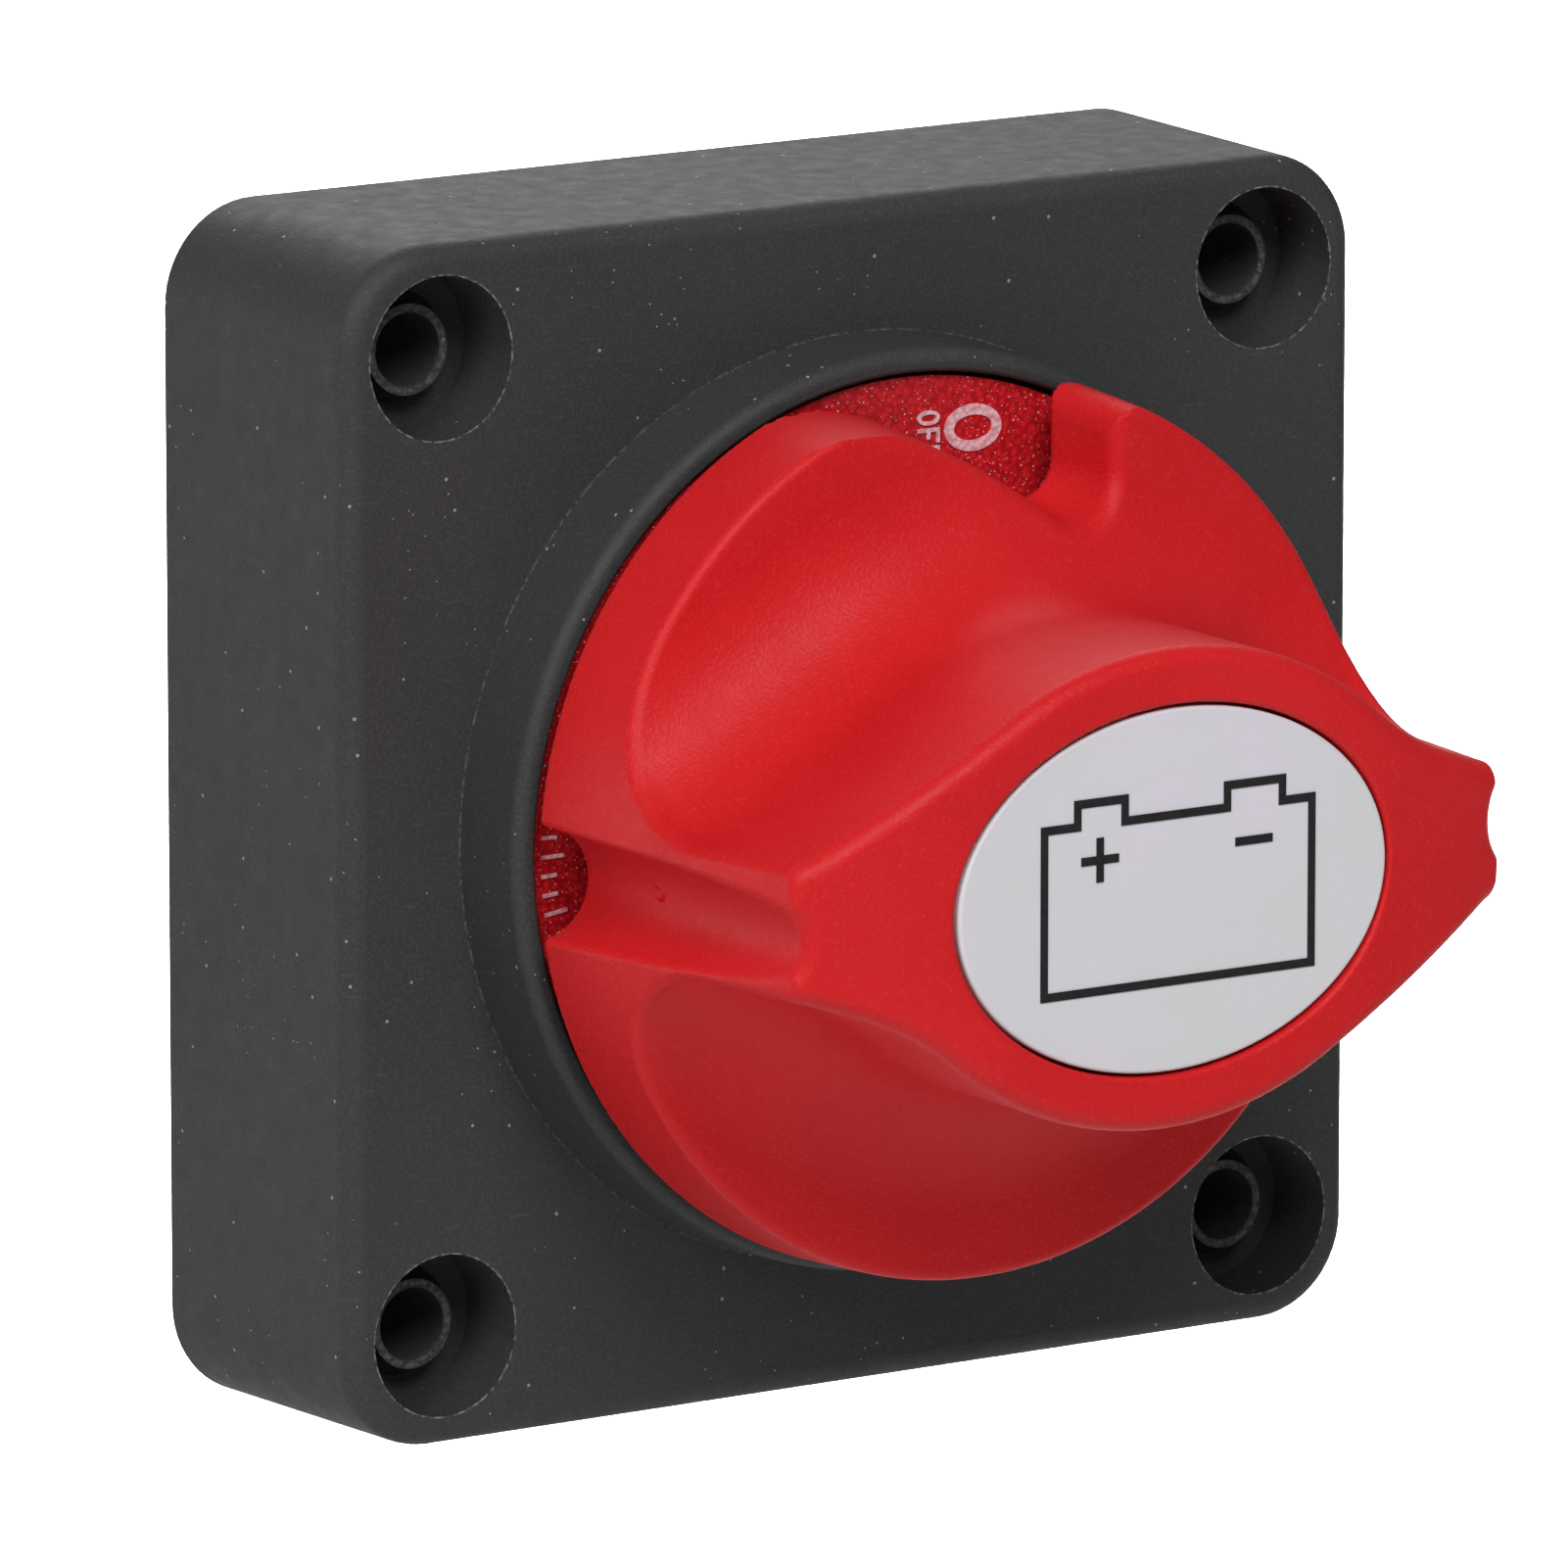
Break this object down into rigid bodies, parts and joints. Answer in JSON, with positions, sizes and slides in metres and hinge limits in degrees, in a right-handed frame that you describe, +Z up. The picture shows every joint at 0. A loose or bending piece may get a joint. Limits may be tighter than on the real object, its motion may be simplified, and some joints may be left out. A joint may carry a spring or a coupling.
{
  "type": "rotary battery isolator switch",
  "caption": "Square panel switch with a round collar, a scooped turning knob on its front and two threaded terminals behind.",
  "frame": {"origin": "centre of the four mounting holes on the rear mounting plane", "axes": "+Z up, +X to the right seen from the front, -Y out of the panel towards the hand along the knob's turning axis"},
  "size_m": [0.069, 0.0752, 0.069],
  "materials": {
    "case_plastic": "fine spark-eroded grain, charcoal, glass-filled nylon",
    "base_plastic": "matt black thermoset moulding",
    "knob_plastic": "satin red moulding with fine grain",
    "dial_plastic": "dark red, pebbled leather grain",
    "print_white": "thin pad print over the grain",
    "label_plastic": "satin light grey plate",
    "ink_black": "satin black ink",
    "rotor_plastic": "natural acetal",
    "tinned_copper": "tin plated copper",
    "copper": "bare rolled copper",
    "stainless": "turned stainless steel",
    "spring_steel": "drawn wire",
    "rubber_black": "nitrile rubber"
  },
  "bodies": {
    "case": {"housing": "case_plastic", "contact_base": "base_plastic", "base_gasket": "rubber_black", "base_screws": "stainless", "terminal_stud_upper": "tinned_copper", "terminal_stud_lower": "tinned_copper", "stud_jam_nuts": "stainless", "terminal_washers": "stainless", "terminal_spring_washers": "stainless", "terminal_nuts": "stainless", "detent_ring": "rotor_plastic", "thrust_washer": "rotor_plastic", "dial_disc": "dial_plastic", "dial_numerals": "print_white", "dial_ticks": "print_white"},
    "turning_knob": {"knob": "knob_plastic", "knob_screw": "stainless", "knob_screw_washer": "stainless", "knob_label": "label_plastic", "label_icon": "ink_black", "rotor": "rotor_plastic", "spindle_o_ring": "rubber_black", "contact_spring": "spring_steel", "detent_spring_left": "spring_steel", "detent_spring_right": "spring_steel"},
    "bridge": {"contact_bridge": "copper"},
    "plunger_left": {"detent_plunger_left": "stainless"},
    "plunger_right": {"detent_plunger_right": "stainless"}
  },
  "joints": [
    {"name": "knob_turn", "type": "hinge", "parent": "case", "child": "turning_knob", "pos_m": [0, 0, 0], "axis": [0, 1, 0], "range_deg": [0, 90]},
    {"name": "bridge_float", "type": "slide", "parent": "turning_knob", "child": "bridge", "axis": [0, -1, 0], "range_m": [0, 0.001], "stiffness_N_per_m": 2500, "springref_m": -0.004, "deforming": ["contact_spring"]},
    {"name": "plunger_left_slide", "type": "slide", "parent": "turning_knob", "child": "plunger_left", "axis": [-1, 0, 0], "range_m": [0, 0.0004], "stiffness_N_per_m": 900, "springref_m": 0.003, "deforming": ["detent_spring_left"]},
    {"name": "plunger_right_slide", "type": "slide", "parent": "turning_knob", "child": "plunger_right", "axis": [1, 0, 0], "range_m": [0, 0.0004], "stiffness_N_per_m": 900, "springref_m": 0.003, "deforming": ["detent_spring_right"]}
  ]
}
